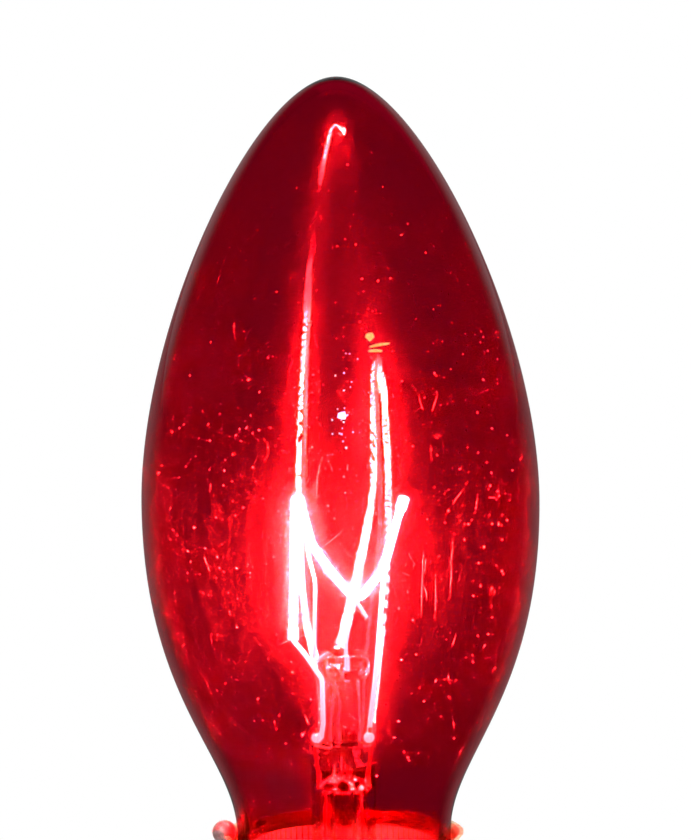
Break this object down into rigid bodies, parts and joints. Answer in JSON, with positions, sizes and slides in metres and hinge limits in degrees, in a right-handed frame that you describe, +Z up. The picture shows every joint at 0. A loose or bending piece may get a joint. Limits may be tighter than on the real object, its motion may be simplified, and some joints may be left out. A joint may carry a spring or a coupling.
{
  "type": "incandescent christmas bulb",
  "caption": "Cone-shaped red glass lamp with a hooked coil filament on a glass mount and a 17 mm screw cap.",
  "frame": {"origin": "on the lamp's axis at the lowest point of the centre solder drop", "axes": "+Z up the lamp's axis from the cap to the glass tip, -Y towards the viewer of the picture, +X to the right"},
  "size_m": [0.0294, 0.0294, 0.0778],
  "materials": {
    "red_glass": "clear red lacquer over blown glass",
    "clear_glass": "clear",
    "seal_wire": "oxidised copper-clad wire",
    "lead_wire": "nickel-plated wire",
    "tungsten": "coiled wire, glowing",
    "hook_wire": "drawn wire",
    "copper_wire": "drawn copper",
    "shell_brass": "rolled sheet, lightly tarnished",
    "black_glass": "glossy black glass",
    "contact_brass": "stamped plate",
    "solder": "dull tin",
    "cement": "dry cement"
  },
  "bodies": {
    "root": {"glass_envelope": "red_glass", "stem": "clear_glass", "exhaust_tube": "clear_glass", "arbor": "clear_glass", "seal_wire_left": "seal_wire", "seal_wire_right": "seal_wire", "inner_lead_left": "lead_wire", "inner_lead_right": "lead_wire", "filament": "tungsten", "support_upper": "hook_wire", "support_lower": "hook_wire", "outer_lead_side": "copper_wire", "outer_lead_center": "copper_wire", "screw_shell": "shell_brass", "insulator": "black_glass", "center_contact": "contact_brass", "solder_center": "solder", "solder_side": "solder", "base_cement": "cement"}
  },
  "joints": []
}
